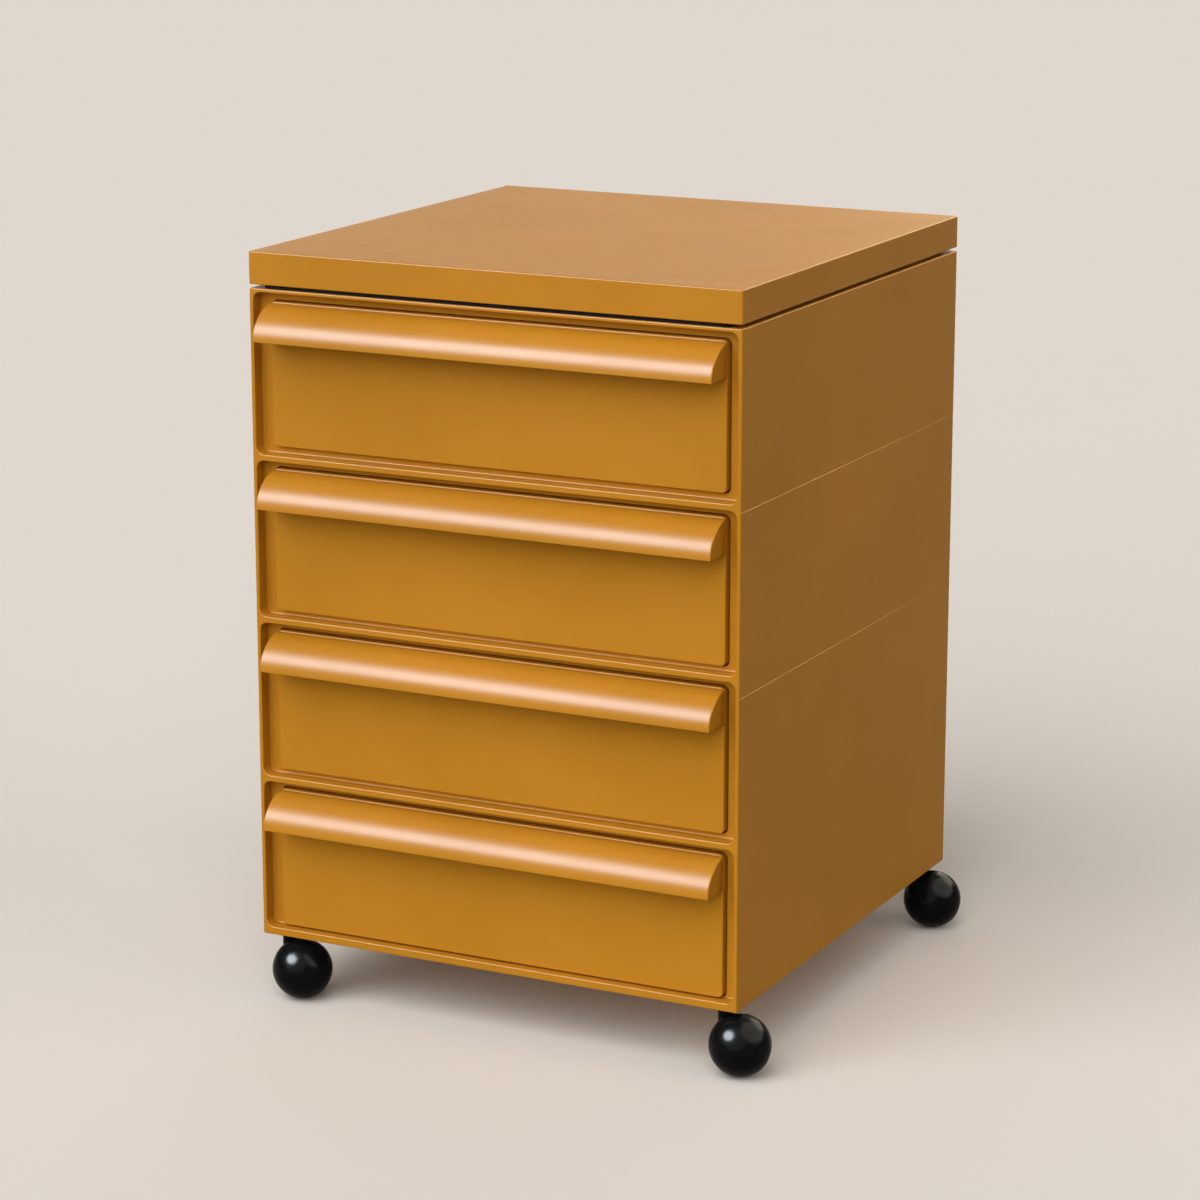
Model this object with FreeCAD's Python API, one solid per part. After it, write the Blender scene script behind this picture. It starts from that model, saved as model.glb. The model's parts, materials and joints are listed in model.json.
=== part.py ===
import FreeCAD, Part
import math
import os

# Mobile drawer cabinet: three stacked housings, a cover on a shadow gap, four drawers with
# full-width hood pulls, and four swivelling ball casters. Millimetres, +Z up, front to -Y.
# Sizes are laid out about the middle of the housings; save() moves all to the part's origin.

V = FreeCAD.Vector
os.makedirs("parts", exist_ok=True)

# Housings
width = 425.0
depth = 430.0
wall = 3.5
plate = 3.2              # floors and dividers behind the frame
rail = 5.2               # front rail between two drawers
bottom_rim = 6.5
top_rim = 3.0
top_opening = 129.5
middle_opening = 127.0
bottom_opening = 123.5
opening_round = 6.5      # corners of the drawer openings
standing_round = 1.5     # standing outer corners
front_round = 1.0        # front edges of the frame
recess = 12.0            # frame front to the inner flange
recess_round = 1.5       # foot of the recess, where it meets the flange
flange = 3.0
lip = 1.2                # top edge of a stacked housing above its first opening
skin = 1.7               # outer half of the walls that laps over the housing below
upper_skirt = 2.0
lower_skirt = 13.2
seam_bevel = 0.5

# Cover and the dark spacer under it
shadow_gap = 3.0
cover_height = 26.0
cover_top = 4.0
cover_wall = 3.5
cover_round = 1.0
cover_rib = 2.4
spacer_side_inset = 12.0
spacer_front_inset = 2.0
spacer_side_band = 16.0
spacer_front_band = 30.0

# Drawer fronts
panel_margin = 15.0      # housing's side to the panel's side
panel_head = 6.3         # strip of flange above the lowest panel
panel_setback = 6.5      # panel face behind the frame front
panel_depth = 9.0
panel_wall = 2.5
panel_face = 3.0
panel_corner = 4.0
panel_round = 1.2
panel_gap = 1.2          # sides and foot, to the flange
panel_top_gap = 1.0
rise_top = 6.1           # panel foot above the opening's floor, first drawer
rise_middle = 4.7
rise_bottom = 1.2

# Hood pulls
pull_projection = 28.0
pull_wall = 3.0
pull_crown_radius = 33.0
pull_nose_radius = 23.0
pull_nose_angle = 36.0   # degrees of the nose arc, up from the lip
pull_drop = 1.6          # crown below the panel's top edge
pull_round = 0.9
pull_boss_radius = 4.5
pull_boss_height = 17.5  # screw line above the lip
pull_screw_inset = 47.5  # outer screws from the pull's ends

# Drawer trays
tray_inset = 9.5         # tray's side from the panel's side
tray_wall = 2.4
tray_floor = 2.5
tray_lift = 4.0          # tray underside above the panel's foot
tray_rim_drop = 20.0     # rim below the panel's top edge
tray_front_drop = 4.0    # front wall below the panel's top edge
tray_corner = 10.0
tray_lip = 3.0
tray_back_gap = 4.0
glide_reach = 8.5        # glide rib out from the tray's side
glide_thickness = 4.0
glide_height = 60.0      # rib underside above the panel's foot
stop_tab = 6.0
travel = 300.0

# Runners on the side walls
runner_wall = 2.6
runner_chamber = 3.0
glide_gap = 0.3
glide_head_gap = 0.5
stop_length = 10.0
stop_height = 6.0
buffer_thickness = 3.0
clear = 0.3              # between stops and ends that nearly meet
runner_screw_inset = 70.0

# Screws, pegs and pins
screw_radius = 2.0
head_radius = 4.0
head_height = 2.4
small_screw_radius = 1.6
small_head_radius = 3.0
small_head_height = 1.6
cover_screw_bite = 10.0
pull_screw_bite = 8.0
plate_screw_bite = 4.0
runner_screw_bite = 3.5
fit_gap = 0.05
peg_radius = 3.0
peg_length = 20.0
boss_height = 12.0       # peg bosses above and below the joint
peg_boss_x = 10.0
peg_boss_y = 13.0

# Ball casters
ball_radius = 25.0
ball_drop = 28.0         # housing underside to ball centre
caster_inset = 16.0      # pivot to the housing's side and front
pivot_inset = 9.0        # pivot inside the ball's rim, along X
ball_side = 7.5          # ball centre in front of the pivot
wheel_back = 0.75        # wheel's flat behind the ball centre
wheel_wall = 4.0
wheel_gap = 0.5
hub_radius = 6.5
hood_step = 0.8          # hood smaller than the wheel
hood_wall = 2.4
hood_web = 2.5
hood_foot = 6.0          # hood cut away up to this height
axle_radius = 3.0
axle_cover_front = 9.0   # ends of the axle inside the wheel and the hood
axle_cover_back = 4.2
axle_boss_radius = 5.5
stem_radius = 6.25
stem_rise = 6.0          # stem's foot above the ball centre
pivot_radius = 4.0
pivot_head_radius = 7.0
pivot_head = 1.4
washer_radius = 7.5
washer_thickness = 0.8
washer_gap = 0.2
mount_plate = 2.5
mount_outward = 12.0     # plate edge beyond the pivot, towards the corner
mount_inward = 36.0
grip_ring_radius = 4.9
grip_ring_height = 1.2

# Levels
base = ball_radius + ball_drop
trail = ball_radius - pivot_inset
hood_radius = ball_radius - hood_step
axle_front = ball_radius - axle_cover_front
axle_back = hood_radius - axle_cover_back
front = -depth / 2
back = depth / 2
side = width / 2
inner_side = side - wall
flange_back = front + recess + flange

panel_width = width - 2 * panel_margin
panel_height = bottom_opening - rise_bottom - panel_head
tray_width = panel_width - 2 * tray_inset

bays = []
level = base + bottom_rim
for height, rise in ((bottom_opening, rise_bottom), (middle_opening, rise_middle),
                     (middle_opening, rise_middle), (top_opening, rise_top)):
    bays.insert(0, {"floor": level, "ceiling": level + height, "panel": level + rise})
    level += height + rail
carcass_top = bays[0]["ceiling"] + top_rim
cover_foot = carcass_top + shadow_gap
total_height = cover_foot + cover_height
upper_joint = bays[1]["ceiling"] + lip
lower_joint = bays[2]["ceiling"] + lip
bays[0]["well"] = (upper_joint + plate, bays[0]["ceiling"])
bays[1]["well"] = (lower_joint + plate, upper_joint)
bays[2]["well"] = (bays[3]["ceiling"] + plate, lower_joint)
bays[3]["well"] = (bays[3]["floor"], bays[3]["ceiling"])

pivot_x = side - caster_inset
pivot_y = depth / 2 - caster_inset
stem_foot = ball_radius + stem_rise
grip_ring_level = stem_foot + 5.0
corners = {"front_left": (-1, -1), "front_right": (1, -1), "rear_left": (-1, 1), "rear_right": (1, 1)}

# The part's origin is under the middle of its bounding box, on the floor
left_reach = min(-side, -pivot_x + trail - ball_radius)
right_reach = max(side, pivot_x + trail + ball_radius)
front_reach = min(front + panel_setback - pull_projection, -pivot_y - ball_side - ball_radius)
back_reach = max(back, pivot_y - ball_side + hood_radius)
origin = V((left_reach + right_reach) / 2, (front_reach + back_reach) / 2, 0)


def block(x0, x1, y0, y1, z0, z1):
    return Part.makeBox(x1 - x0, y1 - y0, z1 - z0, V(x0, y0, z0))


def rod(radius, start, direction, length):
    return Part.makeCylinder(radius, length, start, direction)


def fuse(shapes):
    return shapes[0].multiFuse(shapes[1:]).removeSplitter()


def mirrored(shape):
    return shape.mirror(V(0, 0, 0), V(1, 0, 0))


def runs_along(edge, axis):
    ends = edge.Vertexes
    return len(ends) == 2 and abs(abs((ends[1].Point - ends[0].Point).dot(axis)) - edge.Length) < 1e-6


def rounded_block(x0, x1, y0, y1, z0, z1, radius, axis):
    shape = block(x0, x1, y0, y1, z0, z1)
    return shape.makeFillet(radius, [edge for edge in shape.Edges if runs_along(edge, axis)])


def edges_on(shape, y=None, z=None):
    # Edges that lie in one plane, across Y or across Z
    found = []
    for edge in shape.Edges:
        box = edge.BoundBox
        flat_y = y is None or (abs(box.YMin - y) < 1e-4 and abs(box.YMax - y) < 1e-4)
        flat_z = z is None or (abs(box.ZMin - z) < 1e-4 and abs(box.ZMax - z) < 1e-4)
        if flat_y and flat_z:
            found.append(edge)
    return found


def save(name, shapes):
    if not isinstance(shapes, list):
        shapes = [shapes]
    solids = [solid for shape in shapes for solid in shape.Solids]
    shape = solids[0] if len(solids) == 1 else Part.makeCompound(solids)
    shape = shape.copy()
    shape.translate(origin * -1)
    shape.exportStep("parts/" + name + ".step")
    print(name, len(solids), "solids", round(shape.Volume), "mm3", "valid" if shape.isValid() else "NOT VALID")


# Runner and glide levels follow each bay
def glide_level(bay):
    return bay["panel"] + glide_height


tray_side = tray_width / 2
tray_front = front + panel_setback + panel_depth
tray_back = back - wall - tray_back_gap
glide_side = tray_side + glide_reach
runner_face = tray_side + 2.0
runner_web = glide_side + 0.5
pad_side = runner_web + 2 * runner_wall + runner_chamber
runner_front = tray_front + clear
runner_back = back - wall - clear
runner_screws_y = (flange_back + runner_screw_inset, back - runner_screw_inset)
runner_height = glide_thickness + glide_gap + glide_head_gap + 2 * runner_wall


def drawer_opening(bay):
    # Recess in the frame with a rounded foot, the flange's hole, and the well behind it
    tool = rounded_block(-inner_side, inner_side, front - 5, front + recess,
                         bay["floor"], bay["ceiling"], opening_round, V(0, 1, 0))
    tool = tool.makeFillet(recess_round, edges_on(tool, y=front + recess))
    half_hole = panel_width / 2 + panel_gap
    hole = rounded_block(-half_hole, half_hole, front + recess - 5, flange_back + 5,
                         bay["panel"] - panel_gap, bay["panel"] + panel_height + panel_top_gap,
                         panel_corner + panel_gap, V(0, 1, 0))
    well = block(-inner_side, inner_side, flange_back, back - wall, bay["well"][0], bay["well"][1])
    return [tool, hole, well]


def runner_pads(bay):
    middle = glide_level(bay) + glide_thickness / 2
    half = runner_height / 2
    pads = []
    for y in runner_screws_y:
        pad = block(pad_side, inner_side + 1, y - 8, y + 8, middle - half, middle + half)
        pads += [pad, mirrored(pad)]
    return pads


def runner_screw_holes(bay):
    middle = glide_level(bay) + glide_thickness / 2
    holes = []
    for y in runner_screws_y:
        hole = rod(small_screw_radius + fit_gap, V(pad_side - 1, y, middle), V(1, 0, 0),
                   runner_screw_bite + small_screw_radius + clear + 1)
        holes += [hole, mirrored(hole)]
    return holes


def peg_places():
    x = inner_side - peg_boss_x / 2
    places = []
    for y in (flange_back + peg_boss_y / 2, back - wall - peg_boss_y / 2):
        places += [(-x, y), (x, y)]
    return places


def peg_bosses(joint):
    bosses = []
    for x, y in peg_places():
        reach = math.copysign(peg_boss_x / 2 + 1, x)
        near, far = sorted((x - math.copysign(peg_boss_x / 2, x), x + reach))
        bosses.append(block(near, far, y - peg_boss_y / 2 - 0.5, y + peg_boss_y / 2 + 0.5,
                            joint - boss_height, joint + boss_height))
    return bosses


def mount_screw_places(sx, sy):
    x, y = sx * pivot_x, sy * pivot_y
    far = mount_inward - 8
    near = 7.0
    return [(x - sx * a, y - sy * b) for a, b in ((far, near), (far, far), (near, far))]


def underside():
    # Hollow under the bottom plate, with ribs left standing and pads over the caster plates
    hollow_top = base + bottom_rim - plate
    hollow = block(-inner_side, inner_side, front + wall, back - wall, base - 5, hollow_top)
    kept = []
    for x in (-width / 6, width / 6):
        kept.append(block(x - 1.2, x + 1.2, front, back, base, hollow_top))
    for y in (-depth / 6, depth / 6):
        kept.append(block(-side, side, y - 1.2, y + 1.2, base, hollow_top))
    for sx, sy in corners.values():
        x0, x1 = sorted((sx * inner_side, sx * (pivot_x - mount_inward - 1)))
        y0, y1 = sorted((sy * (back - wall), sy * (pivot_y - mount_inward - 1)))
        kept.append(block(x0, x1, y0, y1, base + mount_plate, hollow_top))
    return hollow.cut(Part.makeCompound(kept))


def carcass():
    shape = rounded_block(-side, side, front, back, base, carcass_top, standing_round, V(0, 0, 1))
    cuts = []
    for bay in bays:
        cuts += drawer_opening(bay)
    shape = shape.cut(Part.makeCompound([cuts[0]]))
    for tool in cuts[1:]:
        shape = shape.cut(tool)
    loops = []
    for edge in edges_on(shape, y=front):
        inside = abs(edge.BoundBox.Center.x) < inner_side + 0.01
        if inside and base + 0.1 < edge.BoundBox.Center.z < carcass_top - 0.1:
            loops.append(edge)
    shape = shape.makeFillet(front_round, loops)
    shape = shape.cut(underside())
    added = []
    for bay in bays:
        added += runner_pads(bay)
    for joint in (upper_joint, lower_joint):
        added += peg_bosses(joint)
    for sx, sy in corners.values():
        for x, y in mount_screw_places(sx, sy):
            added.append(rod(4.5, V(x, y, bays[3]["floor"] - 1), V(0, 0, 1), 5.0))
    shape = fuse([shape] + added)
    holes = []
    for bay in bays:
        holes += runner_screw_holes(bay)
    for joint in (upper_joint, lower_joint):
        for x, y in peg_places():
            foot = joint - peg_length / 2 - 0.5
            holes.append(rod(peg_radius + fit_gap, V(x, y, foot), V(0, 0, 1), peg_length + 1))
    for sx, sy in corners.values():
        for x, y in mount_screw_places(sx, sy):
            depth_up = mount_plate + plate_screw_bite + 2 * small_screw_radius
            holes.append(rod(small_screw_radius + fit_gap, V(x, y, base), V(0, 0, 1), depth_up))
        holes.append(rod(pivot_head_radius + 0.6, V(sx * pivot_x, sy * pivot_y, base), V(0, 0, 1),
                         mount_plate + pivot_head + 0.2))
    for x, y in cover_screw_places():
        holes.append(rod(screw_radius + fit_gap, V(x, y, carcass_top - 10), V(0, 0, 1), 20))
    for tool in holes:
        shape = shape.cut(tool)
    return shape


def cover_screw_places():
    x = side - spacer_side_inset - spacer_side_band / 2
    y = back - 24.0
    return [(-x, -y), (x, -y), (-x, y), (x, y)]


def skirt_band(z0, z1):
    # Outer skin of the walls, from the rounding of the front corners to the back
    band = block(-side - 5, side + 5, front + standing_round, back + 5, z0, z1)
    return band.cut(block(-side + skin, side - skin, front - 5, back - skin, z0 - 1, z1 + 1))


def seam_groove(z):
    # Small V all round the sides and back, where two housings meet
    band = block(-side - 5, side + 5, front + standing_round, back + 5, z - seam_bevel, z + seam_bevel)
    below = rounded_block(-side, side, front, back, z - 5, z, standing_round, V(0, 0, 1))
    below = below.makeChamfer(seam_bevel, edges_on(below, z=z))
    above = below.mirror(V(0, 0, z), V(0, 0, 1))
    return band.cut(below).cut(above)


def housings():
    whole = carcass()
    whole = whole.cut(seam_groove(upper_joint - upper_skirt)).cut(seam_groove(lower_joint - lower_skirt))
    upper_band = skirt_band(upper_joint - upper_skirt, upper_joint)
    lower_band = skirt_band(lower_joint - lower_skirt, lower_joint)
    room = 50.0
    slabs = [block(-side - room, side + room, front - room, back + room, z0, z1)
             for z0, z1 in ((upper_joint, carcass_top + room), (lower_joint, upper_joint),
                            (base - room, lower_joint))]
    return {"housing_top": whole.common(fuse([slabs[0], upper_band])),
            "housing_middle": whole.common(fuse([slabs[1].cut(upper_band), lower_band])),
            "housing_bottom": whole.common(slabs[2].cut(lower_band))}


def cover():
    shape = rounded_block(-side, side, front, back, cover_foot, total_height, standing_round, V(0, 0, 1))
    shape = shape.makeFillet(cover_round, edges_on(shape, z=total_height))
    ceiling = total_height - cover_top
    hollow = block(-side + cover_wall, side - cover_wall, front + cover_wall, back - cover_wall,
                   cover_foot - 5, ceiling)
    kept = []
    for x in (-width / 6, width / 6):
        kept.append(block(x - cover_rib / 2, x + cover_rib / 2, front, back, cover_foot, ceiling))
    for y in (-depth / 6, depth / 6):
        kept.append(block(-side, side, y - cover_rib / 2, y + cover_rib / 2, cover_foot, ceiling))
    for x, y in cover_screw_places():
        kept.append(rod(5.5, V(x, y, cover_foot), V(0, 0, 1), ceiling - cover_foot))
        wing = sorted((x, math.copysign(side - cover_wall, x)))
        kept.append(block(wing[0], wing[1], y - cover_rib / 2, y + cover_rib / 2, cover_foot, ceiling))
    shape = shape.cut(hollow.cut(fuse(kept)))
    for x, y in cover_screw_places():
        depth_up = cover_screw_bite + 2 * screw_radius
        shape = shape.cut(rod(screw_radius + fit_gap, V(x, y, cover_foot - 1), V(0, 0, 1), depth_up))
    return shape


def cover_spacer():
    x = side - spacer_side_inset
    y = back - spacer_front_inset
    shape = rounded_block(-x, x, -y, y, carcass_top, cover_foot, 4.0, V(0, 0, 1))
    shape = shape.cut(rounded_block(-x + spacer_side_band, x - spacer_side_band, -y + spacer_front_band,
                                    y - spacer_front_band, carcass_top - 1, cover_foot + 1, 4.0, V(0, 0, 1)))
    for px, py in cover_screw_places():
        shape = shape.cut(rod(screw_radius + fit_gap, V(px, py, carcass_top - 1), V(0, 0, 1), 20))
    return shape


def screw(radius, length, head_radius, head_height, start, direction):
    # Pan head with its seat at start, shank along direction
    shank = rod(radius, start, direction, length)
    tip = Part.makeCone(radius, radius * 0.4, radius, start + direction * length, direction)
    head = rod(head_radius, start - direction * head_height, direction, head_height)
    rim = [edge for edge in head.Edges if len(edge.Vertexes) == 1
           and (edge.CenterOfMass - start).dot(direction) < -head_height / 2]
    head = head.makeChamfer(head_height * 0.4, rim)
    drive = rod(radius * 0.55, start - direction * (head_height + 1), direction, head_height * 0.6 + 1)
    return fuse([shank, tip, head]).cut(drive)


def runner_stop_back():
    # The tab behind the drawer meets the buffer at the end of the travel
    return tray_back - tray_corner - stop_tab - travel - clear - buffer_thickness


def runner(bay):
    # Right-hand runner: an open groove towards the tray, a closed chamber behind it
    level = glide_level(bay)
    low = level - glide_gap - runner_wall
    high = level + glide_thickness + glide_head_gap + runner_wall
    shape = block(runner_face, pad_side, runner_front, runner_back, low, high)
    groove = block(runner_face - 1, runner_web, runner_front - 1, tray_back + clear,
                   low + runner_wall, high - runner_wall)
    chamber = block(runner_web + runner_wall, runner_web + runner_wall + runner_chamber, runner_front - 1,
                    runner_back + 1, low + runner_wall, high - runner_wall)
    shape = shape.cut(groove).cut(chamber)
    stop_back = runner_stop_back()
    stop = block(runner_face + 0.5, runner_web - 0.5, stop_back - stop_length, stop_back, high - 1, high + stop_height)
    shape = fuse([shape, stop])
    middle = level + glide_thickness / 2
    for y in runner_screws_y:
        shape = shape.cut(rod(small_screw_radius + fit_gap, V(runner_web, y, middle), V(1, 0, 0), 30))
        shape = shape.cut(rod(3.6, V(runner_face, y, middle), V(1, 0, 0),
                              runner_web + runner_wall + runner_chamber - runner_face))
    return shape


def buffer(bay):
    high = glide_level(bay) + glide_thickness + glide_head_gap + runner_wall
    stop_back = runner_stop_back()
    return rounded_block(runner_face + 0.5, runner_web - 0.5, stop_back, stop_back + buffer_thickness,
                         high, high + stop_height, 0.8, V(0, 1, 0))


def runner_screw(bay, y):
    middle = glide_level(bay) + glide_thickness / 2
    seat = runner_web + runner_wall + runner_chamber
    length = pad_side - seat + runner_screw_bite
    return screw(small_screw_radius, length, small_head_radius, small_head_height, V(seat, y, middle), V(1, 0, 0))


def panel_front(bay):
    # Shallow pan: face, rounded corners, returns to the tray and standoffs on the screw line
    z0 = bay["panel"]
    z1 = z0 + panel_height
    y0 = front + panel_setback
    half = panel_width / 2
    shape = rounded_block(-half, half, y0, tray_front, z0, z1, panel_corner, V(0, 1, 0))
    shape = shape.makeFillet(panel_round, edges_on(shape, y=y0))
    pan = rounded_block(-half + panel_wall, half - panel_wall, y0 + panel_face, tray_front + 1,
                        z0 + panel_wall, z1 - panel_wall, panel_corner - panel_wall + 0.5, V(0, 1, 0))
    posts = []
    for x in pull_screw_places():
        posts.append(rod(5.5, V(x, y0 + panel_face - 1, pull_screw_level(bay)), V(0, 1, 0), panel_depth))
    for x in (-panel_width / 3, panel_width / 3):
        posts.append(block(x - 1.2, x + 1.2, y0 + panel_face - 1, tray_front, z0, z1))
    shape = shape.cut(pan.cut(fuse(posts)))
    shape = shape.common(block(-half, half, y0, tray_front, z0, z1))
    for x in pull_screw_places():
        shape = shape.cut(rod(screw_radius + fit_gap, V(x, y0 - 5, pull_screw_level(bay)), V(0, 1, 0), 30))
    return shape


def pull_screw_places():
    reach = panel_width / 2 - pull_screw_inset
    return (-reach, 0.0, reach)


def pull_heights():
    # Nose arc centre, crown arc centre and crown height, all from the lip's foot at the panel face
    angle = math.radians(pull_nose_angle)
    nose = V(0, pull_projection - pull_nose_radius, 0)
    shift = pull_crown_radius - pull_nose_radius
    crown = V(0, nose.y - shift * math.cos(angle), -shift * math.sin(angle))
    height = crown.z + math.sqrt(pull_crown_radius ** 2 - crown.y ** 2)
    return nose, crown, height


def pull_foot(bay):
    return bay["panel"] + panel_height - pull_drop - pull_heights()[2]


def pull_screw_level(bay):
    return pull_foot(bay) + pull_boss_height


def pull_section(inset, foot):
    # Closed outline of the hood in the YZ plane at x = 0, with y measured out from the panel face
    nose, crown, height = pull_heights()
    angle = math.radians(pull_nose_angle)
    nose_radius = pull_nose_radius - inset
    crown_radius = pull_crown_radius - inset

    def on(centre, radius, turn):
        return V(0, centre.y + radius * math.cos(turn), centre.z + radius * math.sin(turn))

    lip = on(nose, nose_radius, 0)
    joint = on(nose, nose_radius, angle)
    top_turn = math.acos(-crown.y / crown_radius)
    top = on(crown, crown_radius, top_turn)
    foot_out = V(0, lip.y, foot)
    foot_in = V(0, 0, foot)
    edges = []
    if (foot_out - lip).Length > 1e-6:
        edges.append(Part.makeLine(foot_out, lip))
    edges.append(Part.Arc(lip, on(nose, nose_radius, angle / 2), joint).toShape())
    edges.append(Part.Arc(joint, on(crown, crown_radius, (angle + top_turn) / 2), top).toShape())
    edges.append(Part.makeLine(top, foot_in))
    edges.append(Part.makeLine(foot_in, foot_out))
    return Part.Face(Part.Wire(edges))


def pull(bay):
    half = panel_width / 2
    face = front + panel_setback
    shape = pull_section(0, 0).extrude(V(panel_width, 0, 0))
    ends = []
    for edge in shape.Edges:
        box = edge.BoundBox
        if box.XLength < 1e-6 and edge.Curve.TypeId == "Part::GeomCircle":
            ends.append(edge)
    shape = shape.makeFillet(pull_round, ends)
    hollow = pull_section(pull_wall, -5).extrude(V(panel_width - 2 * pull_wall, 0, 0))
    hollow.translate(V(pull_wall, 0, 0))
    posts = []
    for x in pull_screw_places():
        posts.append(rod(pull_boss_radius, V(half + x, 0, pull_boss_height), V(0, 1, 0), pull_projection))
    hollow = hollow.cut(fuse(posts))
    shape = shape.cut(hollow)
    lip_edges = []
    for edge in edges_on(shape, z=0):
        if edge.BoundBox.XLength > panel_width / 2:
            lip_edges.append(edge)
    shape = shape.makeFillet(pull_round, [edge for edge in lip_edges if edge.BoundBox.YMin > pull_wall])
    for x in pull_screw_places():
        reach = pull_screw_bite + 2 * screw_radius
        shape = shape.cut(rod(screw_radius + fit_gap, V(half + x, -1, pull_boss_height), V(0, 1, 0), reach))
    placed = shape.mirror(V(0, 0, 0), V(0, 1, 0))
    placed.translate(V(-half, face, pull_foot(bay)))
    return placed


def pull_screws(bay):
    seat = tray_front + tray_wall
    length = seat - (front + panel_setback) + pull_screw_bite
    return [screw(screw_radius, length, head_radius, head_height, V(x, seat, pull_screw_level(bay)), V(0, -1, 0))
            for x in pull_screw_places()]


def tray(bay):
    z0 = bay["panel"] + tray_lift
    rim = bay["panel"] + panel_height - tray_rim_drop
    front_top = bay["panel"] + panel_height - tray_front_drop
    shell = rounded_block(-tray_side, tray_side, tray_front, tray_back, z0, rim, tray_corner, V(0, 0, 1))
    edge_lip = rounded_block(-tray_side - tray_lip, tray_side + tray_lip, tray_front, tray_back + tray_lip,
                             rim - tray_wall, rim, tray_corner + tray_lip, V(0, 0, 1))
    front_wall = rounded_block(-tray_side, tray_side, tray_front, tray_front + tray_wall, z0, front_top,
                               tray_corner, V(0, 1, 0))
    front_wall = front_wall.common(block(-side, side, front, back, z0 + tray_corner, front_top))
    inside = rounded_block(-tray_side + tray_wall, tray_side - tray_wall, tray_front + tray_wall,
                           tray_back - tray_wall, z0 + tray_floor, rim + tray_wall, tray_corner - tray_wall, V(0, 0, 1))
    inside = inside.makeFillet(4.0, edges_on(inside, z=z0 + tray_floor))
    shape = fuse([shell, edge_lip, front_wall])
    level = glide_level(bay)
    high = level + glide_thickness + glide_head_gap + runner_wall
    glides = rounded_block(-glide_side, glide_side, tray_front + 5, tray_back, level, level + glide_thickness,
                           2.0, V(0, 0, 1))
    tab = rounded_block(tray_side - 5, glide_side - 0.5, tray_back - tray_corner - stop_tab,
                        tray_back - tray_corner, high + 0.5, high + stop_height, 1.0, V(0, 1, 0))
    shape = fuse([shape, glides, tab, mirrored(tab)])
    shape = shape.cut(inside)
    for x in pull_screw_places():
        shape = shape.cut(rod(screw_radius + fit_gap, V(x, tray_front - 1, pull_screw_level(bay)), V(0, 1, 0), 5))
    return shape


def ring(outer, inner, height, centre):
    return rod(outer, centre, V(0, 0, 1), height).cut(rod(inner, centre, V(0, 0, 1), height))


def turned(points, arcs, centre):
    # Revolve about the ball's axle line: points are (y, r) from the ball centre, and arcs gives
    # the sphere radius for the edge that starts at that point
    edges = []
    for index, (y, r) in enumerate(points):
        next_y, next_r = points[(index + 1) % len(points)]
        start, end = V(r, y, 0), V(next_r, next_y, 0)
        if index in arcs:
            mid = (start + end) * 0.5
            edges.append(Part.Arc(start, mid * (arcs[index] / mid.Length), end).toShape())
        else:
            edges.append(Part.makeLine(start, end))
    shape = Part.Face(Part.Wire(edges)).revolve(V(0, 0, 0), V(0, 1, 0), 360)
    shape.translate(centre)
    return shape


def on_sphere(radius, y):
    return math.sqrt(radius ** 2 - y ** 2)


def ball_centre(sx, sy):
    return V(sx * pivot_x + trail, sy * pivot_y - ball_side, ball_radius)


def wheel(sx, sy):
    centre = ball_centre(sx, sy)
    inner = ball_radius - wheel_wall
    bore = axle_radius + fit_gap
    bore_end = -axle_front - 0.5
    hub_start = -on_sphere(inner, hub_radius)
    points = [(-ball_radius, 0), (wheel_back, on_sphere(ball_radius, wheel_back)),
              (wheel_back, on_sphere(inner, wheel_back)), (hub_start, hub_radius),
              (wheel_back, hub_radius), (wheel_back, bore), (bore_end, bore), (bore_end, 0)]
    shape = turned(points, {0: ball_radius, 2: inner}, centre)
    ribs = []
    for turn in range(5):
        rib = block(hub_radius - 1, inner + 1, -inner, wheel_back - 4, -1.2, 1.2)
        rib.rotate(V(0, 0, 0), V(0, 1, 0), turn * 72)
        ribs.append(rib)
    ribs = fuse(ribs).common(Part.makeSphere(inner + 1))
    ribs.translate(centre)
    return fuse([shape, ribs])


def caster_body(sx, sy):
    centre = ball_centre(sx, sy)
    web = wheel_back + wheel_gap
    inner = hood_radius - hood_wall
    cap = turned([(web, 0), (web, on_sphere(hood_radius, web)), (hood_radius, 0)], {1: hood_radius}, centre)
    behind = web + hood_web
    cavity = turned([(behind, axle_boss_radius), (behind, on_sphere(inner, behind)),
                     (on_sphere(inner, axle_boss_radius), axle_boss_radius)], {1: inner}, centre)
    cap = cap.cut(cavity)
    cap = cap.cut(block(centre.x - 40, centre.x + 40, centre.y - 40, centre.y + 40, -1, hood_foot))
    pivot = V(sx * pivot_x, sy * pivot_y, 0)
    top = base - washer_thickness - washer_gap
    shape = fuse([cap, rod(stem_radius, pivot + V(0, 0, stem_foot), V(0, 0, 1), top - stem_foot)])
    bore = rod(pivot_radius + fit_gap, pivot + V(0, 0, stem_foot + 2), V(0, 0, 1), top - stem_foot)
    ring_room = rod(grip_ring_radius + 0.1, pivot + V(0, 0, grip_ring_level - 0.2), V(0, 0, 1),
                    grip_ring_height + 0.4)
    shape = shape.cut(bore).cut(ring_room)
    return shape.cut(rod(axle_radius, centre + V(0, -1, 0), V(0, 1, 0), axle_back + 1))


def axle(sx, sy):
    centre = ball_centre(sx, sy)
    return rod(axle_radius, centre + V(0, -axle_front, 0), V(0, 1, 0), axle_front + axle_back)


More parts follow.
